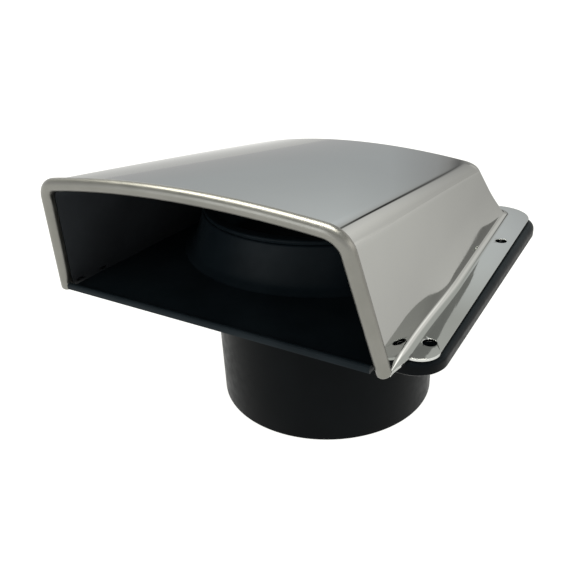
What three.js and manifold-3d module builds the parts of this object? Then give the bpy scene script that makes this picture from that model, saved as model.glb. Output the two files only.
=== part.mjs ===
// Low-profile cowl vent for a boat deck: a pressed stainless hood with a wide mouth, seated on a
// black moulded base whose round spigot takes 4 inch ventilation hose below the deck.
// Millimetres, +Z up, the mouth faces -Y. While the pieces are shaped, X and Y are measured from
// the spigot's axis and heights from the flange's top face. The last lines move the whole vent so
// that the middle of its underside is the origin.
import * as THREE from 'three';
import { mergeVertices } from 'three/addons/utils/BufferGeometryUtils.js';
import Module from 'manifold-3d';

const wasm = await Module();
wasm.setup();

const { lerp, clamp, degToRad } = THREE.MathUtils;

// Driving dimensions.
const sheet = 1.0;
const gap = 0.3;
const hoseBore = 101.6;
const spigotWall = 2.8;
const spigotBottom = -75.4;
const damHeight = 18.8;

// Flange of the hood and its screw holes for number 8 screws.
const flange = {
  halfWidth: 79.1, front: -77.7, back: 71.0, frontCorner: 7.2, backCorner: 15.6, narrowing: 0.00019,
};
const screwRadius = 2.35;
const frontScrew = { x: 74.0, y: -66.7 };
const rearScrew = { x: 72.4, y: 26.3 };

// The hood's side walls, roof and back wall.
const wallAtMouth = 69.7;
const wallTaper = 0.042;
const leanAtMouth = 0.218;
const leanAtBack = 0.212;
const roofAtMouth = 50.0;
const roofFall = 0.110;
const roofBackY = 31;
const archAtMouth = 403;
const archAtBack = 255;
const edgeRadiusAtMouth = 9.4;
const edgeRadiusAtBack = 6.9;
const backFootY = 66.2;
const backLean = 0.952;
const planCornerAtFoot = 6.5;
const planCornerAtRoof = 8.4;
const footFillet = 3.1;

// The mouth lies in a plane that leans forward at the top. A round bead edges it, and a short
// return behind the bead covers the front of the duct lining.
const mouthY = -91.4;
const mouthRake = 0.155;
const beadRadius = 2.4;
const beadRise = 0.8;
const returnDepth = 3.2;

// The moulded base and the duct lining.
const base = {
  halfWidth: 80.5, front: -78.7, back: 70.2, frontCorner: 11, backCorner: 19, narrowing: 0,
};
const baseTop = -sheet - gap;
const baseBottom = -6.4;
const baseEase = 2.0;
const baseRim = 9;
const plateThickness = 2.3;
const ribWidth = 2.2;
const ribCount = 8;
const bossWall = 3.2;
const collarWall = 4.5;
const floorTop = 0.6;
const floorHalfWidth = 64.5;
const floorBack = 56.6;
const sillFront = -92.0;
const sillTop = 2.7;
const damFoot = 62.2;
const damNeck = 53.2;
const damTop = damHeight - 1.8;
const lipWidth = 1.9;
const lipHeight = 1.5;
const gasketThickness = 1.2;
const gasketInset = 3.2;
const gasketWidth = 9.8;
const linerInset = sheet + gap;
const linerWall = 2.7;
const drain = { low: 1.2, high: 2.4, halfLength: 2.1, front: -84.6, rear: -72.6 };

// ---------------------------------------------------------------- solids and geometries

function toSolid(geometry) {
  const bare = geometry.clone();
  bare.deleteAttribute('normal');
  bare.deleteAttribute('uv');
  const merged = mergeVertices(bare, 1e-4);
  const vertProperties = new Float32Array(merged.attributes.position.array);
  const triVerts = new Uint32Array(merged.index.array);
  return new wasm.Manifold(new wasm.Mesh({ numProp: 3, vertProperties, triVerts }));
}

function toGeometry(solid) {
  const mesh = solid.asOriginal().simplify(0.01).getMesh();
  const geometry = new THREE.BufferGeometry();
  geometry.setAttribute('position', new THREE.BufferAttribute(mesh.vertProperties, 3));
  geometry.setIndex(new THREE.BufferAttribute(mesh.triVerts, 1));
  geometry.computeVertexNormals();
  return geometry;
}

function fromTriangles(points) {
  const geometry = new THREE.BufferGeometry();
  const flat = points.flatMap((p) => [p.x, p.y, p.z]);
  geometry.setAttribute('position', new THREE.Float32BufferAttribute(flat, 3));
  return geometry;
}

// Triangles of a grid of points, rows[i][j]; j runs to the left of i as seen from outside.
function gridTriangles(rows) {
  const out = [];
  for (let i = 0; i + 1 < rows.length; i += 1) {
    for (let j = 0; j + 1 < rows[i].length; j += 1) {
      const [a, b] = [rows[i][j], rows[i][j + 1]];
      const [c, d] = [rows[i + 1][j + 1], rows[i + 1][j]];
      out.push(a, b, c, a, c, d);
    }
  }
  return out;
}

// Triangles that fill a flat outline. pick gives a point's two coordinates in the flat's plane,
// and the triangles run counterclockwise in that plane, or clockwise when flipped.
function capTriangles(outline, pick, flip) {
  const flat = outline.map(pick);
  const faces = THREE.ShapeUtils.triangulateShape([...flat], []);
  const area = (face) => THREE.ShapeUtils.area(face.map((i) => flat[i]));
  const total = faces.reduce((sum, face) => sum + area(face), 0);
  const reversed = total > 0 === flip;
  return faces.flatMap((face) => {
    const turn = reversed ? [...face].reverse() : face;
    return turn.map((i) => outline[i]);
  });
}

function cylinder(radius, bottom, top, x, y, sides = 40) {
  const geometry = new THREE.CylinderGeometry(radius, radius, top - bottom, sides);
  geometry.rotateX(Math.PI / 2);
  geometry.translate(x, y, (top + bottom) / 2);
  return toSolid(geometry);
}

function box(low, high) {
  const geometry = new THREE.BoxGeometry(high[0] - low[0], high[1] - low[1], high[2] - low[2]);
  geometry.translate((low[0] + high[0]) / 2, (low[1] + high[1]) / 2, (low[2] + high[2]) / 2);
  return toSolid(geometry);
}

// A solid with a flat top and bottom, stacked from closed outlines of equal length.
function stack(outlines) {
  const closed = outlines.map((ring) => [...ring, ring[0]]);
  const pick = (p) => new THREE.Vector2(p.x, p.y);
  const bottom = capTriangles(outlines[0], pick, true);
  const top = capTriangles(outlines.at(-1), pick, false);
  return toSolid(fromTriangles([...gridTriangles(closed), ...bottom, ...top]));
}

// Circular blend between two straight runs that meet at the point between them.
function blendArc(start, between, end, steps) {
  const arm = new THREE.Vector3().subVectors(start, between).normalize();
  const other = new THREE.Vector3().subVectors(end, between).normalize();
  const weight = Math.sqrt((1 - arm.dot(other)) / 2);
  const points = [];
  for (let i = 0; i <= steps; i += 1) {
    const t = i / steps;
    const wa = (1 - t) * (1 - t);
    const wb = 2 * weight * t * (1 - t);
    const wc = t * t;
    const p = new THREE.Vector3();
    p.addScaledVector(start, wa).addScaledVector(between, wb).addScaledVector(end, wc);
    points.push(p.divideScalar(wa + wb + wc));
  }
  return points;
}

// ---------------------------------------------------------------- the hood's form

function along(y) {
  return clamp((y - mouthY) / (roofBackY - mouthY), -0.2, 1.4);
}

function lean(y) {
  return lerp(leanAtMouth, leanAtBack, along(y));
}

// Half the hood's width at height z, for a skin that lies inset under the outer one.
function halfWidth(y, z, inset) {
  const straight = wallAtMouth - wallTaper * (y - mouthY);
  return straight - lean(y) * z - inset * Math.hypot(1, lean(y));
}

function roof(x, y, inset) {
  const arch = lerp(archAtMouth, archAtBack, along(y));
  return roofAtMouth - roofFall * (y - mouthY) - (x * x) / (2 * arch) - inset;
}

function backAt(z, inset) {
  return backFootY - backLean * z - inset * Math.hypot(1, backLean);
}

// Plan view of the walls at height z: up one side, round a corner and half way across the back.
const sideSteps = 14;
const cornerSteps = 6;
const backSteps = 5;
const mouthRun = -100;

function halfPlan(z, inset) {
  const back = backAt(z, inset);
  const corner = Math.max(lerp(planCornerAtFoot, planCornerAtRoof, z / roofAtMouth) - inset, 1);
  const cornerX = halfWidth(back, z, inset);
  const points = [];
  for (let i = 0; i < sideSteps; i += 1) {
    const y = lerp(mouthRun, back - corner, i / sideSteps);
    points.push(new THREE.Vector3(halfWidth(y, z, inset), y, z));
  }
  const start = new THREE.Vector3(halfWidth(back - corner, z, inset), back - corner, z);
  const between = new THREE.Vector3(cornerX, back, z);
  const end = new THREE.Vector3(cornerX - corner, back, z);
  points.push(...blendArc(start, between, end, cornerSteps));
  for (let i = 1; i <= backSteps; i += 1) {
    points.push(new THREE.Vector3(lerp(end.x, 0, i / backSteps), back, z));
  }
  return points;
}

function mirrored(half) {
  const left = half.slice(0, -1).reverse();
  return [...half, ...left.map((p) => new THREE.Vector3(-p.x, p.y, p.z))];
}

const halfCount = sideSteps + cornerSteps + backSteps + 1;

// Height at which a wall line meets the roof.
function eavesHeight(j, inset) {
  let z = 35;
  for (let pass = 0; pass < 12; pass += 1) {
    const p = halfPlan(z, inset)[j];
    z = roof(p.x, p.y, inset);
  }
  return z;
}

function wallPoint(j, z, inset) {
  return halfPlan(z, inset)[j];
}

function outward(j, z, inset) {
  const ring = halfPlan(z, inset);
  const before = ring[Math.max(j - 1, 0)];
  const after = j + 1 < ring.length ? ring[j + 1] : new THREE.Vector3(-ring[j - 1].x, ring[j].y, z);
  const run = new THREE.Vector3().subVectors(after, before).normalize();
  return new THREE.Vector3(run.y, -run.x, 0);
}

// One upright line of the skin: flared foot, wall, rounded eaves.
function uprightLine(j, inset, foot) {
  const eaves = eavesHeight(j, inset);
  const sharp = wallPoint(j, eaves, inset);
  const low = wallPoint(j, eaves - 10, inset);
  const down = new THREE.Vector3().subVectors(low, sharp).normalize();
  const share = along(sharp.y);
  const radius = Math.max(lerp(edgeRadiusAtMouth, edgeRadiusAtBack, share) - inset, 1.2);
  const inwards = outward(j, eaves, inset).negate();
  const inner = sharp.clone().addScaledVector(inwards, 10);
  inner.z = roof(inner.x, inner.y, inset);
  const in3 = inner.sub(sharp).normalize();
  const turn = Math.PI - Math.acos(clamp(down.dot(in3), -1, 1));
  const reach = radius * Math.tan(turn / 2);
  const start = sharp.clone().addScaledVector(down, reach);
  const end = sharp.clone().addScaledVector(in3, reach);
  end.z = roof(end.x, end.y, inset);
  const eavesArc = blendArc(start, sharp, end, 5);
  return [...foot(j, inset), ...wallSteps(j, inset, foot, start.z), ...eavesArc];
}

function wallSteps(j, inset, foot, top) {
  const from = foot(j, inset).at(-1).z;
  const steps = 4;
  const out = [];
  for (let i = 1; i < steps; i += 1) {
    out.push(wallPoint(j, lerp(from, top, i / steps), inset));
  }
  return out;
}

// The steel turns outward into the flange. Ahead of the flange the flare dies away.
function flaredFoot(j, inset) {
  const level = -inset;
  const sharp = wallPoint(j, level, inset);
  const up = wallPoint(j, level + 10, inset).sub(sharp).normalize();
  const out = outward(j, level, inset);
  const fade = THREE.MathUtils.smoothstep(sharp.y, flange.front - 9, flange.front + 1);
  const radius = lerp(0.4, footFillet, fade) + inset;
  const turn = Math.PI - Math.acos(clamp(up.dot(out), -1, 1));
  const reach = radius * Math.tan(turn / 2);
  const start = sharp.clone().addScaledVector(out, reach);
  const end = sharp.clone().addScaledVector(up, reach);
  const below = start.clone();
  below.z = -sheet - (inset > 0 ? 2 : 0);
  return [below, ...blendArc(start, sharp, end, 4)];
}

// The lining stands straight on the base.
function straightFoot(j, inset) {
  return [wallPoint(j, inset > linerInset ? -3 : -sheet, inset)];
}

// Closed body under one skin of the hood, longer than the hood at the mouth.
function hoodBody(inset, foot) {
  const half = [];
  for (let j = 0; j < halfCount; j += 1) {
    half.push(uprightLine(j, inset, foot));
  }
  const levels = half[0].map((_, k) => mirrored(half.map((line) => line[k])));
  const walls = gridTriangles(levels);
  const edge = levels.at(-1);
  const rows = roofGrid(edge, inset);
  const roofSkin = gridTriangles(rows);
  const right = levels.map((ring) => ring[0]);
  const left = levels.map((ring) => ring.at(-1)).reverse();
  const mouthEdge = rows.map((row) => row[0]).slice(1, -1);
  const mouth = capTriangles([...right, ...mouthEdge, ...left], (p) => new THREE.Vector2(p.x, p.z), false);
  const bottom = capTriangles(levels[0], (p) => new THREE.Vector2(p.x, p.y), true);
  return toSolid(fromTriangles([...walls, ...roofSkin, ...mouth, ...bottom]));
}

// Fills the roof between the eaves. The grid's corners lie half way round the plan corners.
function roofGrid(edge, inset) {
  const side = sideSteps + cornerSteps / 2;
  const across = edge.length - 1 - 2 * side;
  const right = edge.slice(0, side + 1);
  const back = edge.slice(side, side + across + 1);
  const left = edge.slice(side + across).reverse();
  const rows = [];
  for (let c = 0; c <= across; c += 1) {
    const v = c / across;
    const row = [];
    for (let i = 0; i <= side; i += 1) {
      const u = i / side;
      const front = new THREE.Vector3().lerpVectors(right[0], left[0], v);
      const coons = new THREE.Vector3().lerpVectors(right[i], left[i], v);
      coons.addScaledVector(front, 1 - u).addScaledVector(back[c], u);
      const bilinearFront = front.clone().multiplyScalar(1 - u);
      const bilinearBack = new THREE.Vector3().lerpVectors(right[side], left[side], v);
      coons.sub(bilinearFront).addScaledVector(bilinearBack, -u);
      coons.z = roof(coons.x, coons.y, inset);
      row.push(coons);
    }
    rows.push(row);
  }
  rows[0] = right;
  rows[across] = left;
  return rows;
}

// Everything ahead of a plane parallel to the mouth.
function aheadOfMouth(offset) {
  const depth = 60;
  const geometry = new THREE.BoxGeometry(240, depth, 300);
  geometry.translate(0, -depth / 2, 0);
  geometry.rotateX(Math.atan(mouthRake));
  geometry.translate(0, mouthY + offset, 0);
  return toSolid(geometry);
}

// ---------------------------------------------------------------- outlines in plan

// Rounded rectangle at height z, grown all round. A plan can narrow a little towards the back.
function roundedRectangle(plan, z, grow) {
  const corners = [
    [1, plan.front, plan.frontCorner, -90],
    [1, plan.back, plan.backCorner, 0],
    [-1, plan.back, plan.backCorner, 90],
    [-1, plan.front, plan.frontCorner, 180],
  ];
  const steps = 8;
  const points = [];
  for (const [side, y, radius, from] of corners) {
    const r = Math.max(radius + grow, 2);
    const cx = side * (plan.halfWidth + grow - r);
    const cy = y + Math.sign(y) * (grow - r);
    for (let i = 0; i <= steps; i += 1) {
      const a = degToRad(from + (90 * i) / steps);
      const px = cx + r * Math.cos(a);
      const py = cy + r * Math.sin(a);
      points.push(new THREE.Vector3(px * (1 - plan.narrowing * (py - plan.front)), py, z));
    }
  }
  return points;
}

function screwPlaces() {
  return [-1, 1].flatMap((side) => [frontScrew, rearScrew].map(({ x, y }) => [side * x, y]));
}

function drillScrewHoles(solid, radius, bottom, top) {
  let drilled = solid;
  for (const [x, y] of screwPlaces()) {
    drilled = drilled.subtract(cylinder(radius, bottom, top, x, y, 20));
  }
  return drilled;
}

// ---------------------------------------------------------------- pieces

function hoodShell() {
  const outer = hoodBody(0, flaredFoot);
  const plate = stack([roundedRectangle(flange, -sheet, 0), roundedRectangle(flange, 0, 0)]);
  const inner = hoodBody(sheet, flaredFoot);
  const pressed = outer.add(plate).subtract(inner).subtract(aheadOfMouth(beadRadius + gap));
  return toGeometry(drillScrewHoles(pressed, screwRadius, -5, 5));
}

// Section of the hood in a plane parallel to the mouth and that far behind it, from the foot of
// one side to the foot of the other.
function mouthOutline(behind) {
  const at = (z) => mouthY + behind - mouthRake * z;
  const wall = (z) => new THREE.Vector3(halfWidth(at(z), z, 0), at(z), z);
  const onRoof = (x) => {
    let z = roofAtMouth;
    for (let pass = 0; pass < 8; pass += 1) {
      z = roof(x, at(z), 0);
    }
    return new THREE.Vector3(x, at(z), z);
  };
  let eaves = 45;
  for (let pass = 0; pass < 12; pass += 1) {
    eaves = onRoof(wall(eaves).x).z;
  }
  const sharp = wall(eaves);
  const down = wall(eaves - 10).sub(sharp).normalize();
  const inwards = onRoof(sharp.x - 10).sub(sharp).normalize();
  const turn = Math.PI - Math.acos(down.dot(inwards));
  const radius = lerp(edgeRadiusAtMouth, edgeRadiusAtBack, along(sharp.y));
  const reach = radius * Math.tan(turn / 2);
  const start = sharp.clone().addScaledVector(down, reach);
  const end = sharp.clone().addScaledVector(inwards, reach);
  const foot = wall(0);
  const half = [foot, wall(start.z * 0.33), wall(start.z * 0.67), ...blendArc(start, sharp, end, 7)];
  const archSteps = 7;
  for (let i = 1; i <= archSteps; i += 1) {
    half.push(onRoof(lerp(end.x, 0, i / archSteps)));
  }
  return mirrored(half);
}

// Rolled bead round the mouth, open at the sill. Its section leans with the hood's own surface,
// which is found from a second outline a little way behind the mouth.
function mouthRim() {
  const path = mouthOutline(0);
  const behind = mouthOutline(2 * beadRadius);
  const section = beadSection();
  const rings = path.map((point, i) => {
    const before = path[Math.max(i - 1, 0)];
    const after = path[Math.min(i + 1, path.length - 1)];
    const run = new THREE.Vector3().subVectors(after, before).normalize();
    const ahead = new THREE.Vector3().subVectors(point, behind[i]);
    const out = new THREE.Vector3().crossVectors(run, ahead).normalize();
    const forward = new THREE.Vector3().crossVectors(out, run);
    return section.map(([a, b]) => point.clone().addScaledVector(out, a).addScaledVector(forward, b));
  });
  const closed = rings.map((ring) => [...ring, ring[0]]);
  const pick = (p) => new THREE.Vector2(p.x, p.y);
  const start = capTriangles(rings[0], pick, true);
  const end = capTriangles(rings.at(-1), pick, true);
  return toGeometry(toSolid(fromTriangles([...gridTriangles(closed), ...start, ...end])));
}

// Outward and forward distances of the bead's section, from the return round the bead's front.
// The bead stands proud of the hood outside, laps a little over its edge, and is flush with the
// duct lining inside.
function beadSection() {
  const middle = beadRise - beadRadius;
  const inside = middle - beadRadius;
  const underHood = -sheet - 1.33 * gap;
  const points = [[inside, -returnDepth]];
  const steps = 12;
  const lap = degToRad(30);
  for (let i = 0; i <= steps; i += 1) {
    const a = lerp(Math.PI, -lap, i / steps);
    points.push([middle + beadRadius * Math.cos(a), beadRadius * (Math.sin(a) - 1)]);
  }
  points.push([gap, -beadRadius * (1 + Math.sin(lap))]);
  points.push([gap, -beadRadius], [underHood, -beadRadius], [underHood, -returnDepth]);
  return points;
}

// Lining of the duct behind the bead, with two drain slots low in each side wall.
function ductLiner() {
  const outer = hoodBody(linerInset, straightFoot);
  const inner = hoodBody(linerInset + linerWall, straightFoot);
  let liner = outer.subtract(inner).subtract(aheadOfMouth(returnDepth + gap));
  for (const y of [drain.front, drain.rear]) {
    const reach = wallAtMouth + 10;
    const low = [-reach, y - drain.halfLength, drain.low];
    const high = [reach, y + drain.halfLength, drain.high];
    liner = liner.subtract(box(low, high));
  }
  return toGeometry(liner);
}

// Plate under the flange, raised floor with a sill, and the conical dam round the bore.
function basePlate() {
  const outlines = [
    roundedRectangle(base, baseBottom, -0.8),
    roundedRectangle(base, baseBottom + 0.8, 0),
  ];
  for (const degrees of [0, 30, 60, 90]) {
    const a = degToRad(degrees);
    const z = baseTop - baseEase * (1 - Math.sin(a));
    outlines.push(roundedRectangle(base, z, -baseEase * (1 - Math.cos(a))));
  }
  const dam = damCone().intersect(insideLiner());
  const body = stack(outlines).subtract(undersidePockets()).add(trayFloor()).add(dam);
  const bore = cylinder(hoseBore / 2 + gap, -20, 60, 0, 0, 72);
  return toGeometry(drillScrewHoles(body.subtract(bore), screwRadius, -20, 5));
}

// Pockets that leave a rim, ribs and screw bosses on the underside.
function undersidePockets() {
  const roofOfPocket = baseTop - plateThickness;
  const bottom = roundedRectangle(base, baseBottom - 1, -baseRim);
  let pocket = stack([bottom, roundedRectangle(base, roofOfPocket, -baseRim)]);
  pocket = pocket.subtract(cylinder(hoseBore / 2 + collarWall, -20, 20, 0, 0, 72));
  for (const [x, y] of screwPlaces()) {
    pocket = pocket.subtract(cylinder(screwRadius + bossWall, -20, 20, x, y, 24));
  }
  for (let i = 0; i < ribCount; i += 1) {
    const rib = new THREE.BoxGeometry(ribWidth, 120, 30);
    rib.translate(0, 60, 0);
    rib.rotateZ((2 * Math.PI * (i + 0.5)) / ribCount);
    pocket = pocket.subtract(toSolid(rib));
  }
  return pocket;
}

// Flat rubber frame under the base's rim, with holes for the screws.
function deckGasket() {
  const top = baseBottom - gap;
  const bottom = top - gasketThickness;
  const outlineAt = (z, inset) => roundedRectangle(base, z, -inset);
  const inner = gasketInset + gasketWidth;
  const sheetOfRubber = stack([outlineAt(bottom, gasketInset), outlineAt(top, gasketInset)]);
  const window = stack([outlineAt(bottom - 1, inner), outlineAt(top + 1, inner)]);
  return toGeometry(drillScrewHoles(sheetOfRubber.subtract(window), screwRadius, -20, 5));
}

function trayFloor() {
  const section = [
    [-83.8, baseTop - 0.3],
    [-87.6, 0],
    [sillFront + 0.3, 0.2],
    [sillFront, 0.7],
    [sillFront, sillTop - 0.9],
    [sillFront + 0.4, sillTop - 0.2],
    [sillFront + 1.2, sillTop],
    [sillFront + 2.1, sillTop - 0.4],
    [sillFront + 3.2, floorTop + 0.2],
    [sillFront + 4.2, floorTop],
    [floorBack, floorTop],
    [floorBack, baseTop - 0.3],
  ];
  const shape = new THREE.Shape(section.map(([y, z]) => new THREE.Vector2(y, z)));
  const bar = new THREE.ExtrudeGeometry(shape, { depth: 2 * floorHalfWidth, bevelEnabled: false });
  bar.applyMatrix4(new THREE.Matrix4().makeBasis(
    new THREE.Vector3(0, 1, 0),
    new THREE.Vector3(0, 0, 1),
    new THREE.Vector3(1, 0, 0),
  ));
  bar.translate(-floorHalfWidth, 0, 0);
  const clearance = linerInset + linerWall + gap;
  const plan = mirrored(halfPlan(floorTop, clearance));
  const edge = [-20, 20].map((z) => plan.map((p) => new THREE.Vector3(p.x, p.y, z)));
  return toSolid(bar).intersect(stack(edge));
}

// The space inside the lining, carried on down below the flange. The dam and the spigot keep to it,
// so both are cut off under the sloping back wall.
function insideLiner() {
  const below = box([-90, -90, spigotBottom - 5], [90, 90, baseTop]);
  return hoodBody(linerInset + linerWall + gap, straightFoot).add(below);
}

function damCone() {
  const insideBore = hoseBore / 2 - 2;
  const below = baseTop - 0.3;
  const profile = [new THREE.Vector2(insideBore, below), new THREE.Vector2(damFoot + 0.8, below)];
  const steps = 8;
  for (let i = 0; i <= steps; i += 1) {
    const t = i / steps;
    const radius = lerp(damFoot, damNeck, Math.sqrt(t));
    profile.push(new THREE.Vector2(radius, lerp(floorTop, damTop, t)));
  }
  profile.push(new THREE.Vector2(insideBore, damTop), profile[0].clone());
  return toSolid(new THREE.LatheGeometry(profile, 72).rotateX(Math.PI / 2));
}

// Tube through the base: hose slides on below, a lip rests on the dam above.
function hoseSpigot() {
  const outer = hoseBore / 2;
  const inner = outer - spigotWall;
  const lip = outer + lipWidth;
  const top = damHeight;
  const points = [
    [inner, spigotBottom + 0.5],
    [inner + 0.5, spigotBottom],
    [outer - 0.9, spigotBottom],
    [outer - 0.25, spigotBottom + 0.3],
    [outer, spigotBottom + 1],
    [outer, top - lipHeight],
    [lip, top - lipHeight],
    [lip, top - 0.6],
    [lip - 0.5, top],
    [inner + 0.5, top],
    [inner, top - 0.6],
    [inner, spigotBottom + 0.5],
  ];
  const profile = points.map(([r, z]) => new THREE.Vector2(r, z));
  const tube = toSolid(new THREE.LatheGeometry(profile, 72).rotateX(Math.PI / 2));
  return toGeometry(tube.intersect(insideLiner()));
}

// ---------------------------------------------------------------- materials and assembly

function steel(roughness) {
  return new THREE.MeshStandardMaterial({ color: 0xb9bab4, roughness, metalness: 1 });
}

function blackPlastic(roughness) {
  return new THREE.MeshStandardMaterial({ color: 0x1b1d1f, roughness, metalness: 0 });
}

function rubber() {
  return new THREE.MeshStandardMaterial({ color: 0x141414, roughness: 0.85, metalness: 0 });
}

function piece(name, geometry, material) {
  const mesh = new THREE.Mesh(geometry, material);
  mesh.name = name;
  return mesh;
}

const vent = new THREE.Group();
vent.add(piece('hood_shell', hoodShell(), steel(0.06)));
vent.add(piece('mouth_rim', mouthRim(), steel(0.3)));
vent.add(piece('duct_liner', ductLiner(), blackPlastic(0.5)));
vent.add(piece('base_plate', basePlate(), blackPlastic(0.45)));
vent.add(piece('hose_spigot', hoseSpigot(), blackPlastic(0.5)));
vent.add(piece('deck_gasket', deckGasket(), rubber()));

const bounds = new THREE.Box3().setFromObject(vent);
const middle = bounds.getCenter(new THREE.Vector3());
vent.position.set(0, -middle.y, -bounds.min.z);

const assembly = new THREE.Group();
assembly.add(vent);

export default assembly;
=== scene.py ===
"""Looks of a low-profile deck cowl vent: a polished pressed hood with a satin bead round its wide
mouth, on a black moulded base with a round hose spigot.

Shapes are worked out in millimetres from the spigot's axis, with heights from the flange's top
face, and placed by the box of the CAD node hood_shell.
"""
import math

import bpy
import bmesh
from mathutils import Matrix, Vector
from mathutils.geometry import delaunay_2d_cdt


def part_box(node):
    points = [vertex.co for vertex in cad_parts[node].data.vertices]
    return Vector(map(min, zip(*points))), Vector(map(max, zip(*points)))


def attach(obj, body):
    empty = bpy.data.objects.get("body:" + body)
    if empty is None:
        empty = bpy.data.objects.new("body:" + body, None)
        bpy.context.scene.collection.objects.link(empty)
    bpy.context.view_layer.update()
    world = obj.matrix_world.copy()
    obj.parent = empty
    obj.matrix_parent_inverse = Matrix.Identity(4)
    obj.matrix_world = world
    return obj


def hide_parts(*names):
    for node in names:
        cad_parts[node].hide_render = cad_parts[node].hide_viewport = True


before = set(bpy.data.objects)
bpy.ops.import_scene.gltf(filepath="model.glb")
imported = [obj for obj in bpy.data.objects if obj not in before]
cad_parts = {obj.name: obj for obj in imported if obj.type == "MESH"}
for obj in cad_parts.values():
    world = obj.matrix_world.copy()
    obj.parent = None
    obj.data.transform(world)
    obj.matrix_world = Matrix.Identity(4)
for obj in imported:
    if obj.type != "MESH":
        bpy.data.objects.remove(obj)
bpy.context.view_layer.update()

# Driving dimensions, in millimetres, with the bead's lap in degrees. Tapers and leans are slopes.
SHEET = 1.0
FLANGE = dict(half=79.1, front=-77.7, back=71.0, front_corner=7.2, back_corner=15.6, narrow=0.00019)
BASE = dict(half=80.5, front=-78.7, back=70.2, front_corner=11.0, back_corner=19.0, narrow=0.0)
SCREW_RADIUS = 2.35
SCREWS = [(side * x, y) for side in (-1, 1) for x, y in ((74.0, -66.7), (72.4, 26.3))]

WALL_AT_MOUTH = 69.7
WALL_TAPER = 0.042
LEAN_AT_MOUTH = 0.218
LEAN_AT_BACK = 0.212
ROOF_AT_MOUTH = 50.0
ROOF_FALL = 0.110
ROOF_BACK_Y = 31.0
ARCH_AT_MOUTH = 403.0
ARCH_AT_BACK = 255.0
EDGE_AT_MOUTH = 9.4
EDGE_AT_BACK = 6.9
BACK_FOOT_Y = 66.2
BACK_LEAN = 0.952
CORNER_AT_FOOT = 6.5
CORNER_AT_ROOF = 8.4
FOOT_FILLET = 3.1
SWEEP = 1.8
SWEEP_HEIGHT = 16.0
SWEEP_STARTS = -70.0
SWEEP_FULL = -22.0
MOUTH_Y = -91.4
MOUTH_RAKE = 0.155
BEAD_RADIUS = 2.36
BEAD_RISE = 0.78
BEAD_LAP = 30
RETURN_DEPTH = 3.2

HOSE_BORE = 101.6
SPIGOT_WALL = 2.8
SPIGOT_BOTTOM = -75.4
DAM_HEIGHT = 18.8
BASE_TOP = -1.3
BASE_BOTTOM = -6.4
PLATE = 2.3
FLOOR_TOP = 0.6
FLOOR_HALF = 64.5
SILL_FRONT = -92.0
SILL_TOP = 2.7
LINER_INSET = 1.3
LINER_WALL = 2.7
LINER_INSIDE = LINER_INSET + LINER_WALL
GASKET = 1.2
DRAINS = (-84.6, -72.6)
DRAIN_LENGTH = 4.2
GAP = 0.3

# From these millimetres to the part's own frame.
hood_low, hood_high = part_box("hood_shell")
SHIFT = Vector((0, hood_high.y * 1000 - FLANGE["back"], hood_low.z * 1000 + SHEET))

# The studio, in metres and degrees. The screen's greys are given at its foot, low down and higher up,
# as azimuth, brightness and warmth. Their azimuths lean with height, as the black boom does.
SCREEN_RADIUS = 20.0
SCREEN_STEPS = 120
BOOM_SLOPE = 0.65
LOW_FROM = 7
HIGH_FROM = 18
SKY_RANGE = (21, 29)
SKY = (0.56, 0.57, 0.54)
PAPER_CORNER = (0.104, 0.12)
PAPER_HUB = 0.07
SCREEN_BOTTOM = -0.0004
PAPER_LEVEL = -0.0002
FLOOR_LEVEL = -0.0005
SCREEN_FOOT = (
    (-180, 1.0, 0.0), (-60, 0.98, 0.0), (-24, 0.96, 0.0), (-14, 0.76, 0.02), (6, 0.76, 0.03),
    (22, 0.78, 0.03), (32, 0.95, 0.03), (75, 0.95, 0.03), (100, 0.85, 0.0), (180, 0.80, 0.0),
)
SCREEN_LOW = (
    (-180, 0.80, 0.0), (-90, 0.92, 0.0), (-60, 1.02, -0.03), (-24, 1.0, -0.03), (-18, 0.76, -0.01),
    (-16.7, 0.60, 0.01), (-16.2, 0.24, 0.0), (-15.0, 0.24, 0.0), (-14.6, 0.74, 0.02), (6, 0.76, 0.03),
    (22, 0.80, 0.03), (32, 1.7, 0.03), (75, 1.7, 0.03), (100, 0.85, 0.0), (180, 0.80, 0.0),
)
SCREEN_HIGH = (
    (-180, 0.90, 0.0), (-90, 0.90, 0.0), (-46, 0.94, -0.02), (-30, 1.06, -0.03), (-22, 0.82, -0.02),
    (-17.3, 0.64, 0.01), (-16.8, 0.02, 0.0), (-14.1, 0.02, 0.0), (-13.7, 0.90, 0.02), (6, 0.96, 0.03),
    (22, 0.98, 0.03), (32, 2.0, 0.03), (75, 2.0, 0.03), (100, 0.95, 0.0), (180, 0.90, 0.0),
)
PAPER = (
    (-180, 0.75, 0.03), (8, 0.80, 0.03), (13, 0.82, 0.03), (20, 0.84, 0.03), (28, 0.78, 0.03),
    (40, 0.72, 0.03), (60, 0.80, 0.03), (180, 0.80, 0.03),
)

# How finely the skins are divided.
SIDE_STEPS = 64
AHEAD_STEPS = 8
CORNER_STEPS = 14
BACK_STEPS = 12
STATIONS = SIDE_STEPS + CORNER_STEPS + BACK_STEPS + 1
WALL_STEPS = 14
EAVES_STEPS = 12
FOOT_STEPS = 8


# ------------------------------------------------------------------ small helpers

def lerp(a, b, t):
    return a + (b - a) * t


def clamp(x, low, high):
    return max(low, min(high, x))


def smooth(x, low, high):
    t = clamp((x - low) / (high - low), 0.0, 1.0)
    return t * t * (3 - 2 * t)


def in_frame(point):
    """A point in the part's own frame, in metres."""
    return (Vector(point) + SHIFT) / 1000


def blend_point(start, between, end, t):
    """Point at t on the circular blend between two straight runs that meet at between."""
    arm = (start - between).normalized()
    other = (end - between).normalized()
    weight = math.sqrt(max((1 - arm.dot(other)) / 2, 1e-6))
    wa, wb, wc = (1 - t) ** 2, 2 * weight * t * (1 - t), t * t
    return (start * wa + between * wb + end * wc) / (wa + wb + wc)


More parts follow.
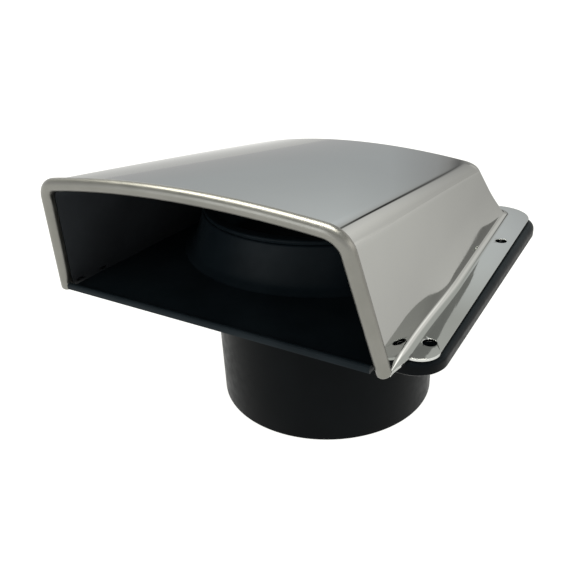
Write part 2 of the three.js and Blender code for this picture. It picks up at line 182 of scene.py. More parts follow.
def mesh_piece(name, points, faces):
    mesh = bpy.data.meshes.new(name)
    mesh.from_pydata([in_frame(p) for p in points], [], faces)
    mesh.update()
    piece = bpy.data.objects.new(name, mesh)
    bpy.context.scene.collection.objects.link(piece)
    return piece


def clean(piece):
    """Joins points that coincide and turns every face outwards."""
    weld = 0.00001
    bm = bmesh.new()
    bm.from_mesh(piece.data)
    bmesh.ops.remove_doubles(bm, verts=bm.verts, dist=weld)
    bmesh.ops.dissolve_degenerate(bm, edges=bm.edges, dist=weld / 10)
    bmesh.ops.recalc_face_normals(bm, faces=bm.faces)
    bm.to_mesh(piece.data)
    bm.free()
    return piece


def apply_modifiers(piece):
    bpy.context.view_layer.update()
    evaluated = piece.evaluated_get(bpy.context.evaluated_depsgraph_get())
    mesh = bpy.data.meshes.new_from_object(evaluated)
    piece.modifiers.clear()
    piece.data = mesh
    return piece


def combine(piece, other, operation):
    """Joins, cuts or keeps the overlap of two closed pieces, and removes the second."""
    step = piece.modifiers.new(operation, "BOOLEAN")
    step.operation = operation
    step.object = other
    step.solver = "EXACT"
    apply_modifiers(piece)
    bpy.data.objects.remove(other)
    return piece


def soften(piece, width):
    """Rounds the sharp edges."""
    step = piece.modifiers.new("bevel", "BEVEL")
    step.width = width / 1000
    step.segments = 2
    step.limit_method = "ANGLE"
    step.angle_limit = math.radians(60)
    step.harden_normals = False
    return apply_modifiers(piece)


def thicken(piece, thickness, inwards=True):
    """Gives an open sheet its thickness."""
    step = piece.modifiers.new("thickness", "SOLIDIFY")
    step.thickness = thickness / 1000
    step.offset = -1 if inwards else 1
    step.use_even_offset = True
    return apply_modifiers(piece)


def shade(piece, angle):
    """Smooth shading, with edges above the angle left sharp and large flats kept flat."""
    piece.data.shade_smooth()
    piece.data.set_sharp_from_angle(angle=math.radians(angle))
    step = piece.modifiers.new("normals", "WEIGHTED_NORMAL")
    step.keep_sharp = True
    return apply_modifiers(piece)


def grid_faces(rows, columns):
    faces = []
    for i in range(rows - 1):
        for j in range(columns - 1):
            a = i * columns + j
            faces.append((a, a + 1, a + columns + 1, a + columns))
    return faces


def finish_piece(piece, material, node):
    piece.data.materials.clear()
    piece.data.materials.append(material)
    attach(piece, "root")
    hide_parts(node)


# ------------------------------------------------------------------ the hood's form

def along(y):
    """Share of the way from the mouth to the back of the roof."""
    return clamp((y - MOUTH_Y) / (ROOF_BACK_Y - MOUTH_Y), -0.2, 1.4)


def lean(y):
    return lerp(LEAN_AT_MOUTH, LEAN_AT_BACK, along(y))


def half_width(y, z, inset):
    """How far the side wall stands from the middle."""
    straight = WALL_AT_MOUTH - WALL_TAPER * (y - MOUTH_Y)
    return straight + foot_sweep(y, z) - lean(y) * z - inset * math.hypot(1, lean(y))


def foot_sweep(y, z):
    """Behind the mouth the lowest part of the wall curves out very slightly."""
    low = clamp(1 - z / SWEEP_HEIGHT, 0, 1)
    return SWEEP * low * low * smooth(y, SWEEP_STARTS, SWEEP_FULL)


def roof(x, y, inset):
    """Height of the arched roof."""
    arch = lerp(ARCH_AT_MOUTH, ARCH_AT_BACK, along(y))
    return ROOF_AT_MOUTH - ROOF_FALL * (y - MOUTH_Y) - x * x / (2 * arch) - inset


def back_at(z, inset):
    return BACK_FOOT_Y - BACK_LEAN * z - inset * math.hypot(1, BACK_LEAN)


def plan_point(j, z, inset, depth):
    """Point of the walls at height z. The first stations lie between the mouth and the flange."""
    back = back_at(z, inset)
    corner = max(lerp(CORNER_AT_FOOT, CORNER_AT_ROOF, z / ROOF_AT_MOUTH) - inset, 1)
    mouth = MOUTH_Y - MOUTH_RAKE * z + depth
    if j <= AHEAD_STEPS:
        y = lerp(mouth, FLANGE["front"], j / AHEAD_STEPS)
        return Vector((half_width(y, z, inset), y, z))
    if j < SIDE_STEPS:
        y = lerp(FLANGE["front"], back - corner, (j - AHEAD_STEPS) / (SIDE_STEPS - AHEAD_STEPS))
        return Vector((half_width(y, z, inset), y, z))
    start = Vector((half_width(back - corner, z, inset), back - corner, z))
    between = Vector((half_width(back, z, inset), back, z))
    end = Vector((between.x - corner, back, z))
    if j <= SIDE_STEPS + CORNER_STEPS:
        return blend_point(start, between, end, (j - SIDE_STEPS) / CORNER_STEPS)
    share = (j - SIDE_STEPS - CORNER_STEPS) / BACK_STEPS
    return Vector((lerp(end.x, 0, share), back, z))


def outward(j, z, inset, depth):
    """Level direction out of the wall."""
    before = plan_point(max(j - 1, 0), z, inset, depth)
    if j + 1 < STATIONS:
        after = plan_point(j + 1, z, inset, depth)
    else:
        after = Vector((-before.x, before.y, z))
    run = (after - before).normalized()
    return Vector((run.y, -run.x, 0))


def eaves_height(j, inset, depth):
    """Height where the wall's line meets the roof."""
    z = 35.0
    for _ in range(10):
        p = plan_point(j, z, inset, depth)
        z = roof(p.x, p.y, inset)
    return z


def upright_line(j, inset, depth, foot):
    """One upright line of a skin: foot, wall and rounded eaves."""
    eaves = eaves_height(j, inset, depth)
    sharp = plan_point(j, eaves, inset, depth)
    span = 10
    down = (plan_point(j, eaves - span, inset, depth) - sharp).normalized()
    radius = max(lerp(EDGE_AT_MOUTH, EDGE_AT_BACK, along(sharp.y)) - inset, 1.2)
    inner = sharp - outward(j, eaves, inset, depth) * span
    inner.z = roof(inner.x, inner.y, inset)
    inwards = (inner - sharp).normalized()
    turn = math.pi - math.acos(clamp(down.dot(inwards), -1, 1))
    reach = radius * math.tan(turn / 2)
    start = sharp + down * reach
    end = sharp + inwards * reach
    end.z = roof(end.x, end.y, inset)
    line = foot(j, inset, depth)
    bottom = line[-1].z
    for i in range(1, WALL_STEPS):
        line.append(plan_point(j, lerp(bottom, start.z, i / WALL_STEPS), inset, depth))
    line += [blend_point(start, sharp, end, i / EAVES_STEPS) for i in range(EAVES_STEPS + 1)]
    return line


def flared_foot(j, inset, depth):
    """The steel turns outward into the flange. Ahead of the flange the flare dies away."""
    sharp = plan_point(j, -inset, inset, depth)
    up = (plan_point(j, 10 - inset, inset, depth) - sharp).normalized()
    out = outward(j, -inset, inset, depth)
    ahead, behind = FLANGE["front"] - 11, FLANGE["front"] + 1
    radius = lerp(0.5, FOOT_FILLET, smooth(sharp.y, ahead, behind)) + inset
    turn = math.pi - math.acos(clamp(up.dot(out), -1, 1))
    reach = radius * math.tan(turn / 2)
    start = sharp + out * reach
    end = sharp + up * reach
    return [blend_point(start, sharp, end, i / FOOT_STEPS) for i in range(FOOT_STEPS + 1)]


def straight_foot(j, inset, depth):
    """The wall runs straight down to the base."""
    return [plan_point(j, -SHEET, inset, depth)]


def front_arch(x, inset, depth):
    """Point of the roof's front edge at x, on the mouth's raked plane."""
    z = ROOF_AT_MOUTH
    for _ in range(8):
        z = roof(x, MOUTH_Y - MOUTH_RAKE * z + depth, inset)
    return Vector((x, MOUTH_Y - MOUTH_RAKE * z + depth, z))


def roof_rows(edge, inset, depth):
    """Fills the roof between the eaves, with its corners half way round the plan corners."""
    side = SIDE_STEPS + CORNER_STEPS // 2
    across = len(edge) - 1 - 2 * side
    right = edge[:side + 1]
    back = edge[side:side + across + 1]
    left = edge[side + across:][::-1]
    rows = []
    for c in range(across + 1):
        v = c / across
        front = front_arch(lerp(right[0].x, left[0].x, v), inset, depth)
        row = []
        for i in range(side + 1):
            u = i / side
            flat_front = right[0].lerp(left[0], v)
            p = right[i].lerp(left[i], v) + front * (1 - u) + back[c] * u
            p -= flat_front * (1 - u) + right[side].lerp(left[side], v) * u
            p.z = roof(p.x, p.y, inset)
            row.append(p)
        row[0] = front
        rows.append(row)
    rows[0] = right
    rows[across] = left
    return rows


def skin(inset, depth, foot):
    """Points and faces of one open skin of the hood, and its lowest ring."""
    half = [upright_line(j, inset, depth, foot) for j in range(STATIONS)]
    levels = []
    for k in range(len(half[0])):
        right = [line[k] for line in half]
        levels.append(right + [Vector((-p.x, p.y, p.z)) for p in right[-2::-1]])
    ring = len(levels[0])
    points = [p for level in levels for p in level]
    faces = grid_faces(len(levels), ring)
    rows = roof_rows(levels[-1], inset, depth)
    first = len(points)
    points += [p for row in rows for p in row]
    faces += [tuple(first + i for i in face) for face in grid_faces(len(rows), len(rows[0]))]
    return points, faces, levels[0]


# ------------------------------------------------------------------ outlines in plan

def rounded_rectangle(plan, grow, steps=18):
    points = []
    corners = (
        (1, plan["front"], plan["front_corner"], -90),
        (1, plan["back"], plan["back_corner"], 0),
        (-1, plan["back"], plan["back_corner"], 90),
        (-1, plan["front"], plan["front_corner"], 180),
    )
    for side, y, radius, start in corners:
        r = max(radius + grow, 2)
        cx = side * (plan["half"] + grow - r)
        cy = y + math.copysign(1, y) * (grow - r)
        for i in range(steps + 1):
            a = math.radians(start + 90 * i / steps)
            py = cy + r * math.sin(a)
            px = (cx + r * math.cos(a)) * (1 - plan["narrow"] * (py - plan["front"]))
            points.append(Vector((px, py)))
    return points


def circle(x, y, radius, steps=40):
    angles = [2 * math.pi * i / steps for i in range(steps)]
    return [Vector((x + radius * math.cos(a), y + radius * math.sin(a))) for a in angles]


def fill(outline, holes):
    """Triangles inside an outline and outside its holes."""
    points, edges = [], []
    for loop in [outline, *holes]:
        first = len(points)
        count = len(loop)
        points += loop
        edges += [(first + i, first + (i + 1) % count) for i in range(count)]
    corners, _, faces = delaunay_2d_cdt(points, edges, [], 1, 1e-5)[:3]
    kept = []
    for face in faces:
        middle = sum((corners[i] for i in face), Vector((0, 0))) / len(face)
        if not any(inside(middle, hole) for hole in holes):
            kept.append(tuple(face))
    return corners, kept


def inside(point, loop):
    """Whether a point lies within a closed outline."""
    crossings = 0
    for i, a in enumerate(loop):
        b = loop[i - 1]
        if (a.y > point.y) != (b.y > point.y):
            x = a.x + (point.y - a.y) / (b.y - a.y) * (b.x - a.x)
            crossings += x > point.x
    return crossings % 2 == 1


def slab(name, outline, holes, bottom, top):
    """A flat plate with holes."""
    points, faces = fill(outline, holes)
    piece = mesh_piece(name, [Vector((p.x, p.y, top)) for p in points], faces)
    face_up(clean(piece))
    return thicken(piece, top - bottom)


def stacked(name, outlines):
    """A closed solid from outlines of equal length, each with its height."""
    count = len(outlines[0][0])
    points = [Vector((p.x, p.y, z)) for outline, z in outlines for p in outline]
    faces = [tuple(range(count))[::-1], tuple(range(len(points) - count, len(points)))]
    for i in range(len(outlines) - 1):
        for j in range(count):
            a, b = i * count + j, i * count + (j + 1) % count
            faces.append((a, b, b + count, a + count))
    return clean(mesh_piece(name, points, faces))


def turned(name, profile, steps=160):
    """A solid of revolution about the spigot's axis, from radius and height pairs."""
    points, faces = [], []
    count = len(profile)
    for i in range(steps):
        a = 2 * math.pi * i / steps
        points += [Vector((r * math.cos(a), r * math.sin(a), z)) for r, z in profile]
    for i in range(steps):
        a, b = i * count, (i + 1) % steps * count
        for j in range(count):
            k = (j + 1) % count
            faces.append((a + j, b + j, b + k, a + k))
    return clean(mesh_piece(name, points, faces))


def rounded_corner(center, radius, start, end, steps=6):
    """Profile points round a corner, with angles in degrees."""
    angles = [math.radians(lerp(start, end, i / steps)) for i in range(steps + 1)]
    return [(center[0] + radius * math.cos(a), center[1] + radius * math.sin(a)) for a in angles]


# ------------------------------------------------------------------ materials

def new_material(name):
    material = bpy.data.materials.new(name)
    material.use_nodes = True
    tree = material.node_tree
    shader = tree.nodes["Principled BSDF"]
    return material, tree, shader


def position(tree, scale):
    """Object position in metres, stretched by scale along each axis."""
    place = tree.nodes.new("ShaderNodeTexCoord")
    stretch = tree.nodes.new("ShaderNodeMapping")
    stretch.inputs["Scale"].default_value = scale
    tree.links.new(place.outputs["Object"], stretch.inputs["Vector"])
    return stretch.outputs["Vector"]


def math_node(tree, operation, first, second=0.0):
    """One sum on sockets or plain numbers."""
    made = tree.nodes.new("ShaderNodeMath")
    made.operation = operation
    for socket, value in zip(made.inputs, (first, second)):
        if isinstance(value, (int, float)):
            socket.default_value = value
        else:
            tree.links.new(value, socket)
    return made.outputs["Value"]


def place_parts(tree):
    """Object position in metres, as separate x, y and z."""
    place = tree.nodes.new("ShaderNodeTexCoord")
    split = tree.nodes.new("ShaderNodeSeparateXYZ")
    tree.links.new(place.outputs["Object"], split.inputs["Vector"])
    return split.outputs


def noise(tree, scale, detail=3.0, roughness=0.5):
    made = tree.nodes.new("ShaderNodeTexNoise")
    made.inputs["Scale"].default_value = 1.0
    made.inputs["Detail"].default_value = detail
    made.inputs["Roughness"].default_value = roughness
    tree.links.new(position(tree, scale), made.inputs["Vector"])
    return made.outputs["Fac"]


def remap(tree, value, low, high, to_low, to_high):
    made = tree.nodes.new("ShaderNodeMapRange")
    for key, number in (("From Min", low), ("From Max", high), ("To Min", to_low), ("To Max", to_high)):
        made.inputs[key].default_value = number
    tree.links.new(value, made.inputs["Value"])
    return made.outputs["Result"]


def mix_colours(tree, factor, first, second):
    made = tree.nodes.new("ShaderNodeMix")
    made.data_type = "RGBA"
    first_colour = 6
    for socket, colour in zip(made.inputs[first_colour:first_colour + 2], (first, second)):
        if isinstance(colour, tuple):
            socket.default_value = (*colour, 1)
        else:
            tree.links.new(colour, socket)
    tree.links.new(factor, made.inputs[0])
    return made.outputs[2]


def bump(tree, shader, height, strength, distance):
    made = tree.nodes.new("ShaderNodeBump")
    made.inputs["Strength"].default_value = strength
    made.inputs["Distance"].default_value = distance
    tree.links.new(height, made.inputs["Height"])
    tree.links.new(made.outputs["Normal"], shader.inputs["Normal"])


def polished_steel():
    """Mirror polish with faint wipe marks and a fine grain along the hood."""
    material, tree, shader = new_material("polished_steel")
    shader.inputs["Metallic"].default_value = 1.0
    shader.inputs["Specular Tint"].default_value = (0.45, 0.45, 0.45, 1)
    clouds = remap(tree, noise(tree, (22, 16, 22), 4), 0.35, 0.65, 0, 1)
    colour = mix_colours(tree, clouds, (0.600, 0.611, 0.592), (0.576, 0.586, 0.570))
    tree.links.new(colour, shader.inputs["Base Color"])
    wipe = noise(tree, (60, 380, 60), 5, 0.6)
    tree.links.new(remap(tree, wipe, 0.3, 0.7, 0.03, 0.06), shader.inputs["Roughness"])
    grain = noise(tree, (2600, 140, 2600), 3)
    bump(tree, shader, grain, 0.02, 0.00001)
    return material


def satin_steel():
    """Duller, warmer steel of the rolled bead, with uneven polish."""
    material, tree, shader = new_material("satin_steel")
    shader.inputs["Metallic"].default_value = 1.0
    clouds = remap(tree, noise(tree, (90, 90, 90), 4), 0.35, 0.7, 0, 1)
    colour = mix_colours(tree, clouds, (0.232, 0.229, 0.210), (0.208, 0.206, 0.187))
    tree.links.new(colour, shader.inputs["Base Color"])
    haze = noise(tree, (300, 300, 300), 4)
    tree.links.new(remap(tree, haze, 0.3, 0.7, 0.32, 0.38), shader.inputs["Roughness"])
    bump(tree, shader, noise(tree, (150, 700, 700), 3), 0.03, 0.00003)
    return material


def scaled(colour, factor):
    return tuple(c * factor for c in colour)


def moulded_plastic(name, colour, roughness, shine, painted_light_gain=1.0):
    """Black plastic. Above the deck its colour is made lighter by the given factor: painted light on the
    floor, sill, dam and the spigot's top.
    """
    material, tree, shader = new_material(name)
    shader.inputs["Specular IOR Level"].default_value = shine
    light = tuple(c * 1.35 + 0.0005 for c in colour)
    clouds = remap(tree, noise(tree, (45, 45, 45), 5), 0.35, 0.7, 0, 1)
    unpainted_tone = mix_colours(tree, clouds, colour, light)
    # Painted light: above the deck the plain tone is made lighter by the given factor, standing in for light
    # on the floor, sill and dam.
    painted_lit_tone = mix_colours(tree, clouds, scaled(colour, painted_light_gain), scaled(light, painted_light_gain))
    height = place_parts(tree)[2]
    deck = (BASE_TOP + SHIFT.z) / 1000
    painted_light_mask = remap(tree, height, deck - 0.002, deck + 0.002, 0, 1)
    tree.links.new(mix_colours(tree, painted_light_mask, unpainted_tone, painted_lit_tone), shader.inputs["Base Color"])
    haze = noise(tree, (260, 260, 260), 4)
    dull = remap(tree, haze, 0.3, 0.7, roughness - 0.05, roughness + 0.07)
    tree.links.new(dull, shader.inputs["Roughness"])
    bump(tree, shader, noise(tree, (2200, 2200, 2200), 2), 0.12, 0.00004)
    return material


def sheet_rubber():
    """Matt black sheet with a fine dusty grain."""
    material, tree, shader = new_material("sheet_rubber")
    clouds = noise(tree, (120, 120, 120), 4)
    colour = mix_colours(tree, clouds, (0.010, 0.010, 0.010), (0.022, 0.022, 0.021))
    tree.links.new(colour, shader.inputs["Base Color"])
    tree.links.new(remap(tree, clouds, 0.3, 0.7, 0.7, 0.88), shader.inputs["Roughness"])
    bump(tree, shader, noise(tree, (1500, 1500, 1500), 3), 0.3, 0.00008)
    return material


# ------------------------------------------------------------------ pieces

def hood():
    """The pressed sheet: flared foot, walls, eaves and roof, with the flange and its holes."""
    points, faces, low = skin(0, BEAD_RADIUS + GAP, flared_foot)
    piece = mesh_piece("hood_sheet", points, faces)
    foot = [Vector((p.x, p.y)) for p in low[AHEAD_STEPS:len(low) - AHEAD_STEPS]]
    outline = rounded_rectangle(FLANGE, 0)
    flat, triangles = fill(outline, [foot] + [circle(x, y, SCREW_RADIUS) for x, y in SCREWS])
    plate = mesh_piece("flange", [Vector((p.x, p.y, 0)) for p in flat], triangles)
    join(piece, plate)
    clean(piece)
    face_up(piece)
    thicken(piece, SHEET)
    soften(piece, 0.22)
    return shade(piece, 50)


def face_up(piece):
    """Turns the outer side of an open sheet upwards."""
    if sum(face.normal.z * face.area for face in piece.data.polygons) < 0:
        piece.data.flip_normals()


def join(piece, other):
    """Puts the second piece's mesh into the first."""
    bm = bmesh.new()
    bm.from_mesh(piece.data)
    bm.from_mesh(other.data)
    bm.to_mesh(piece.data)
    bm.free()
    bpy.data.objects.remove(other)


def mouth_outline(behind):
    """The hood's section in a plane parallel to the mouth, from one foot to the other."""
    def wall(z):
        y = MOUTH_Y + behind - MOUTH_RAKE * z
        return Vector((half_width(y, z, 0), y, z))

    eaves = 45.0
    for _ in range(12):
        eaves = front_arch(wall(eaves).x, 0, behind).z
    sharp = wall(eaves)
    down = (wall(eaves - 10) - sharp).normalized()
    inwards = (front_arch(sharp.x - 10, 0, behind) - sharp).normalized()
    turn = math.pi - math.acos(down.dot(inwards))
    reach = lerp(EDGE_AT_MOUTH, EDGE_AT_BACK, along(sharp.y)) * math.tan(turn / 2)
    start = sharp + down * reach
    end = sharp + inwards * reach
    tip, up, round_corner, across = 0.2, 16, 20, 30
    half = [wall(lerp(tip, start.z, i / up)) for i in range(up)]
    half += [blend_point(start, sharp, end, i / round_corner) for i in range(round_corner + 1)]
    half += [front_arch(lerp(end.x, 0, i / across), 0, behind) for i in range(1, across + 1)]
    return half + [Vector((-p.x, p.y, p.z)) for p in half[-2::-1]]


def bead_section():
    """Bead and its return lip in section: distance out from the sheet, distance ahead of the mouth."""
    center = BEAD_RISE - BEAD_RADIUS
    lap = math.radians(BEAD_LAP)
    inner = -SHEET - 0.4
    over = 0.15
    section = [(center - BEAD_RADIUS, -RETURN_DEPTH)]
    for i in range(27):
        a = lerp(math.pi, -lap, i / 26)
        section.append((center + BEAD_RADIUS * math.cos(a), BEAD_RADIUS * (math.sin(a) - 1)))
    section += [(over, -BEAD_RADIUS * (1 + math.sin(lap))), (over, -BEAD_RADIUS)]
    section += [(inner, -BEAD_RADIUS), (inner, -RETURN_DEPTH)]
    return section, Vector((center, -BEAD_RADIUS))


def bead():
    """Rolled bead round the mouth, with tongues that end round at the sill."""
    path, behind = mouth_outline(0), mouth_outline(4)
    last = len(path) - 1
    rings = []
    for i, p in enumerate(path):
        run = (path[min(i + 1, last)] - path[max(i - 1, 0)]).normalized()
        out = run.cross(p - behind[i]).normalized()
        rings.append((p, out, out.cross(run), 1.0))
    cap = [(1.5 * math.sin(a), math.cos(a)) for a in (math.pi / 2 * i / 5 for i in range(5, 0, -1))]
    first_run = (path[1] - path[0]).normalized()
    last_run = (path[last] - path[last - 1]).normalized()
    lower = [(path[0] - first_run * drop, *rings[0][1:3], size) for drop, size in cap]
    upper = [(path[last] + last_run * drop, *rings[last][1:3], size) for drop, size in cap[::-1]]
    section, middle = bead_section()
    points = []
    for p, out, forward, size in lower + rings + upper:
        for pair in section:
            away = (Vector(pair) - middle) * max(size, 0.05) + middle
            points.append(p + out * away.x + forward * away.y)
    count = len(section)
    faces = []
    for i in range(0, len(points) - count, count):
        for j in range(count):
            k = (j + 1) % count
            faces.append((i + j, i + k, i + count + k, i + count + j))
    faces.append(tuple(range(count)))
    faces.append(tuple(range(len(points) - count, len(points)))[::-1])
    return shade(clean(mesh_piece("mouth_bead", points, faces)), 45)


def liner():
    """Black lining under the hood, with two drain slots low in each side."""
    points, faces, _ = skin(LINER_INSIDE, RETURN_DEPTH + GAP / 2, straight_foot)
    piece = clean(mesh_piece("duct_lining", points, faces))
    face_up(piece)
    thicken(piece, LINER_WALL, inwards=False)
    far, half = FLANGE["half"] + 10, DRAIN_LENGTH / 2
    for y in DRAINS:
        plan = [Vector((x, y + step)) for x, step in ((-far, -half), (far, -half), (far, half), (-far, half))]
        combine(piece, stacked("slot", [(plan, 1.2), (plan, 2.4)]), "DIFFERENCE")
    return shade(piece, 40)


def pillar(name, outline, reach=20):
    """A tall solid of one outline, for cutting and keeping."""
    return stacked(name, [(outline, -reach), (outline, reach)])


def base_body():
    """Plate under the flange with an eased edge, pockets, ribs and screw bosses."""
    foot_edge = 0.5
    top_edge = 2.0
    ribs = 8
    outlines = [
        (rounded_rectangle(BASE, -foot_edge), BASE_BOTTOM),
        (rounded_rectangle(BASE, 0), BASE_BOTTOM + foot_edge),
    ]
    for i in range(7):
        a = math.pi / 2 * i / 6
        inwards = rounded_rectangle(BASE, -top_edge * (1 - math.cos(a)))
        outlines.append((inwards, BASE_TOP - top_edge * (1 - math.sin(a))))
    piece = stacked("base_body", outlines)
    room = rounded_rectangle(BASE, -9)
    pocket = stacked("pocket", [(room, BASE_BOTTOM - 1), (room, BASE_TOP - PLATE)])
    keep = [pillar("ring", circle(0, 0, HOSE_BORE / 2 + 4.5, 120))]
    keep += [pillar("boss", circle(x, y, SCREW_RADIUS + 3.2)) for x, y in SCREWS]
    for i in range(ribs):
        turn = Matrix.Rotation(2 * math.pi * (i + 0.5) / ribs, 2)
        corners = [turn @ Vector(c) for c in ((1.1, 0), (1.1, 120), (-1.1, 120), (-1.1, 0))]
        keep.append(pillar("rib", corners, 15))
    for solid in keep:
        combine(pocket, solid, "DIFFERENCE")
    combine(piece, pocket, "DIFFERENCE")
    combine(piece, pillar("bore", circle(0, 0, HOSE_BORE / 2 + GAP, 160)), "DIFFERENCE")
    for x, y in SCREWS:
        combine(piece, pillar("hole", circle(x, y, SCREW_RADIUS)), "DIFFERENCE")
    return shade(clean(piece), 35)


def inner_plan(z, inset):
    """The hood's outline at height z, drawn in by inset."""
    right = [plan_point(j, z, inset, 0) for j in range(STATIONS)]
    ring = right + [Vector((-p.x, p.y, p.z)) for p in right[-2::-1]]
    return [Vector((p.x, p.y)) for p in ring]


def tray():
    """Floor of the mouth with its rounded sill, kept inside the lining."""
    under = BASE_TOP + 0.1
    nose = 1.1
    back = 60.0
    section = [
        (-82.6, under), (-87.6, 0.0), (SILL_FRONT + 0.5, 0.1), (SILL_FRONT + 0.1, 0.35),
        (SILL_FRONT, 0.8), (SILL_FRONT, SILL_TOP - nose),
    ]
    section += rounded_corner((SILL_FRONT + nose, SILL_TOP - nose), nose, 180, 60, 8)
    section += [
        (SILL_FRONT + 3.0, FLOOR_TOP + 0.45), (SILL_FRONT + 3.9, FLOOR_TOP + 0.1),
        (SILL_FRONT + 5, FLOOR_TOP), (back, FLOOR_TOP), (back, under),
    ]
    count = len(section)
    points = [Vector((side * FLOOR_HALF, y, z)) for side in (-1, 1) for y, z in section]
    faces = [tuple(range(count)), tuple(range(count, 2 * count))[::-1]]
    faces += [(j, (j + 1) % count, (j + 1) % count + count, j + count) for j in range(count)]
    piece = clean(mesh_piece("floor_tray", points, faces))
    plan = inner_plan(FLOOR_TOP, LINER_INSIDE + 0.05)
    ahead = [Vector((p.x, p.y - 6 if p.y <= -80 else p.y)) for p in plan]
    combine(piece, pillar("plan", ahead), "INTERSECT")
    combine(piece, pillar("bore", circle(0, 0, HOSE_BORE / 2 + 1, 160)), "DIFFERENCE")
    return shade(clean(piece), 40)


def water_dam():
    """Conical dam that keeps spray on the floor out of the bore."""
    bore = 50.9
    bottom = FLOOR_TOP - 0.6
    top = DAM_HEIGHT - 1.8
    lip = 0.7
    profile = [(bore, bottom), (63, bottom)]
    for i in range(13):
        t = i / 12
        profile.append((lerp(62.4, 53.4, math.sqrt(t)), lerp(FLOOR_TOP, top - lip, t)))
    profile += rounded_corner((52.6, top - lip), lip, 30, 90, 4)
    profile += [(bore, top)]
    piece = turned("water_dam", profile)
    combine(piece, closed_skin("room", LINER_INSIDE + 0.1), "INTERSECT")
    return shade(piece, 40)


def closed_skin(name, inset):
    """The space under one skin of the hood, closed across the mouth and underneath."""
    points, faces, low = skin(inset, -2, straight_foot)
    ring = len(low)
    levels = WALL_STEPS + EAVES_STEPS + 1
    first = levels * ring
    columns = SIDE_STEPS + CORNER_STEPS // 2 + 1
    rows = (len(points) - first) // columns
    right = [k * ring for k in range(levels)]
    left = [k * ring + ring - 1 for k in range(levels)]
    arch = [first + c * columns for c in range(1, rows - 1)]
    faces.append(tuple(right + arch + left[::-1]))
    faces.append(tuple(range(ring)))
    return clean(mesh_piece(name, points, faces))


def spigot():
    """Round tube for the hose, with a lip that rests on the dam and an eased lower end."""
    outer = HOSE_BORE / 2
    inner = outer - SPIGOT_WALL
    lip = outer + 1.9
    shoulder = DAM_HEIGHT - 1.6
    profile = rounded_corner((inner + 0.6, SPIGOT_BOTTOM + 0.6), 0.6, 180, 270, 4)
    profile += rounded_corner((outer - 1.0, SPIGOT_BOTTOM + 1.0), 1.0, 270, 360, 5)
    profile += [(outer, -40), (outer, -8), (outer, shoulder), (lip - 0.2, shoulder)]
    profile += rounded_corner((lip - 0.8, DAM_HEIGHT - 0.8), 0.8, 0, 90, 4)
    profile += rounded_corner((inner + 0.6, DAM_HEIGHT - 0.6), 0.6, 90, 180, 4)
    piece = turned("hose_tube", profile, 200)
    room = closed_skin("room", LINER_INSIDE + 0.1)
    below = circle(0, 0, 70, 80)
    combine(room, stacked("below", [(below, SPIGOT_BOTTOM - 5), (below, 5)]), "UNION")
    combine(piece, room, "INTERSECT")
    return shade(piece, 40)


def gasket():
    """Flat seal under the base, open in the middle, with holes for the screws."""
    top = BASE_BOTTOM - GAP
    holes = [rounded_rectangle(BASE, -13, 10)] + [circle(x, y, SCREW_RADIUS) for x, y in SCREWS]
    piece = slab("deck_seal", rounded_rectangle(BASE, -3.2), holes, top - GASKET, top)
    soften(piece, 0.15)
    return shade(piece, 40)


# ------------------------------------------------------------------ stage

def camera():
    """Stands before the right front corner and looks down at the mouth."""
    data = bpy.data.cameras.new("camera")
    data.lens = 39.6
    data.sensor_width = 36
    data.clip_start = 0.01
    azimuth, elevation, roll = math.radians(32.41), math.radians(26.3), math.radians(-2.98)
    level = math.cos(elevation)
    ahead = Vector((-math.sin(azimuth) * level, math.cos(azimuth) * level, -math.sin(elevation)))
    right = ahead.cross(Vector((0, 0, 1))).normalized()
    up = right.cross(ahead)
    turned_right = right * math.cos(roll) + up * math.sin(roll)
    turned_up = up * math.cos(roll) - right * math.sin(roll)
    columns = Matrix((turned_right, turned_up, -ahead)).transposed()
    made = bpy.data.objects.new("camera", data)
    made.matrix_world = Matrix.Translation(in_frame((128.9, -235.6, 107.0))) @ columns.to_4x4()
    bpy.context.scene.collection.objects.link(made)
    bpy.context.scene.camera = made


def emitter(name, colour, strength, diffuse=(0, 0, 0)):
    """A surface that glows evenly."""
    material, _, shader = new_material(name)
    shader.inputs["Base Color"].default_value = (*diffuse, 1)
    shader.inputs["Roughness"].default_value = 1.0
    shader.inputs["Emission Color"].default_value = (*colour, 1)
    shader.inputs["Emission Strength"].default_value = strength
    return material


def stage_mesh(name, points, faces, material):
    mesh = bpy.data.meshes.new(name)
    mesh.from_pydata(points, [], faces)
    mesh.materials.append(material)
    made = bpy.data.objects.new(name, mesh)
    bpy.context.scene.collection.objects.link(made)


def floor_sheet(name, low, high, level, material):
    """A level sheet between two corners."""
    (x0, y0), (x1, y1) = low, high
    points = [(x0, y0, level), (x1, y0, level), (x1, y1, level), (x0, y1, level)]
    stage_mesh(name, points, [(0, 1, 2, 3)], material)


def softbox(name, place, aim, size, power, colour):
    data = bpy.data.lights.new(name, "AREA")
    data.shape = "RECTANGLE"
    data.size, data.size_y = size
    data.energy = power
    data.color = colour
    made = bpy.data.objects.new(name, data)
    made.location = place
    made.rotation_euler = (Vector(aim) - Vector(place)).to_track_quat("-Z", "Y").to_euler()
    bpy.context.scene.collection.objects.link(made)


def ramp(tree, value, stops):
    """Greys at azimuths in degrees, measured from +Y towards +X."""
    made = tree.nodes.new("ShaderNodeValToRGB")
    band = made.color_ramp
    while len(band.elements) < len(stops):
        band.elements.new(0.5)
    for element, (degrees, grey, warm) in zip(band.elements, stops):
        element.position = degrees / 360 + 0.5
        element.color = (grey * (1 + warm), grey * (1 + 0.3 * abs(warm)), grey * (1 - warm), 1)
    tree.links.new(value, made.inputs["Fac"])
    return made.outputs["Color"]


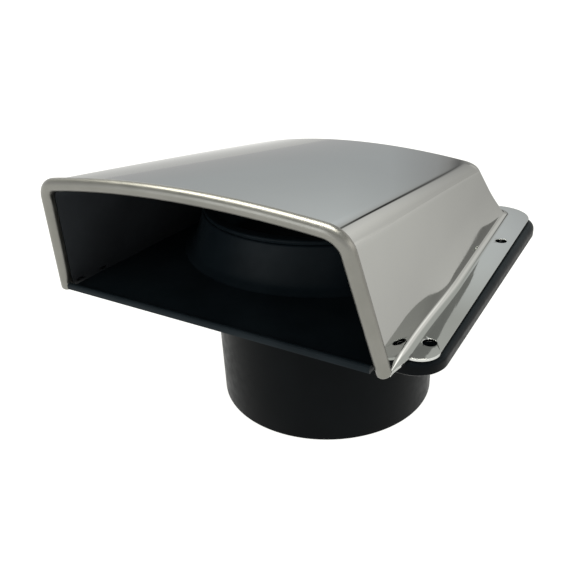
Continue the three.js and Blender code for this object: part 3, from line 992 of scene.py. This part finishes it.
def screen_material():
    """Greys round the screen. A black boom leans across it behind the vent, and the edge of the roof
    mirrors the boom as a thin dark line."""
    material = emitter("screen", (1, 1, 1), 1.0)
    tree = material.node_tree
    x, y, z = place_parts(tree)
    azimuth = math_node(tree, "DEGREES", math_node(tree, "ARCTAN2", x, y))
    elevation = math_node(tree, "DEGREES", math_node(tree, "ARCTAN2", z, SCREEN_RADIUS))
    slanted = math_node(tree, "ADD", azimuth, math_node(tree, "MULTIPLY", elevation, -BOOM_SLOPE))
    share = remap(tree, slanted, -180, 180, 0, 1)
    foot, low, high = (ramp(tree, share, stops) for stops in (SCREEN_FOOT, SCREEN_LOW, SCREEN_HIGH))
    tone = mix_colours(tree, remap(tree, elevation, 0, LOW_FROM, 0, 1), foot, low)
    tone = mix_colours(tree, remap(tree, elevation, LOW_FROM, HIGH_FROM, 0, 1), tone, high)
    tone = mix_colours(tree, remap(tree, elevation, *SKY_RANGE, 0, 1), tone, SKY)
    tree.links.new(tone, tree.nodes["Principled BSDF"].inputs["Emission Color"])
    return material


def screen():
    """A tall round screen all round the floor."""
    angles = [2 * math.pi * i / SCREEN_STEPS for i in range(SCREEN_STEPS)]
    ring = [(SCREEN_RADIUS * math.sin(a), SCREEN_RADIUS * math.cos(a)) for a in angles]
    points = [(x, y, z) for z in (SCREEN_BOTTOM, SCREEN_RADIUS) for x, y in ring]
    faces = []
    for i in range(SCREEN_STEPS):
        k = (i + 1) % SCREEN_STEPS
        faces.append((i, k, k + SCREEN_STEPS, i + SCREEN_STEPS))
    stage_mesh("screen", points, faces, screen_material())


def floor_paper():
    """Grey paper on the floor to the right, out of shot, that the side wall mirrors."""
    material = emitter("paper", (1, 1, 1), 1.0)
    tree = material.node_tree
    x, y, _ = place_parts(tree)
    azimuth = math_node(tree, "ARCTAN2", math_node(tree, "SUBTRACT", x, PAPER_HUB), y)
    tone = ramp(tree, remap(tree, azimuth, -math.pi, math.pi, 0, 1), PAPER)
    tree.links.new(tone, tree.nodes["Principled BSDF"].inputs["Emission Color"])
    floor_sheet("paper", PAPER_CORNER, (SCREEN_RADIUS, SCREEN_RADIUS), PAPER_LEVEL, material)


def studio():
    """White floor, grey screen and two soft lights."""
    world = bpy.data.worlds.new("studio")
    world.use_nodes = True
    background = world.node_tree.nodes["Background"]
    background.inputs["Color"].default_value = (0.86, 0.89, 0.90, 1)
    background.inputs["Strength"].default_value = 0.8
    bpy.context.scene.world = world
    bpy.context.scene.view_settings.view_transform = "Standard"
    white = emitter("floor", (1.0, 1.0, 0.97), 1.03, (0.06, 0.06, 0.06))
    reach = SCREEN_RADIUS * 1.2
    floor_sheet("floor", (-reach, -reach), (reach, reach), FLOOR_LEVEL, white)
    screen()
    floor_paper()
    softbox("overhead", (-0.32, -0.02, 1.3), (-0.32, -0.02, 0), (1.6, 0.6), 32, (1.0, 0.97, 0.87))
    softbox("front_fill", (-0.35, -0.95, 0.30), (0, 0, 0.1), (0.6, 0.5), 1.6, (0.95, 0.98, 1.0))


# ------------------------------------------------------------------ assembly

camera()
studio()
steel = polished_steel()
satin = satin_steel()
lining = moulded_plastic("liner_plastic", (0.020, 0.0225, 0.0255), 0.48, 0.3)
# The last number paints the plastic above the deck lighter: painted light on the floor, sill, dam and the
# spigot's top.
plastic = moulded_plastic("base_plastic", (0.0012, 0.0019, 0.0024), 0.36, 0.05, 5.2)
rubber = sheet_rubber()

finish_piece(hood(), steel, "hood_shell")
finish_piece(bead(), satin, "mouth_rim")
finish_piece(liner(), lining, "duct_liner")
finish_piece(base_body(), plastic, "base_plate")
finish_piece(tray(), plastic, "base_plate")
finish_piece(water_dam(), plastic, "base_plate")
finish_piece(spigot(), plastic, "hose_spigot")
finish_piece(gasket(), rubber, "deck_gasket")
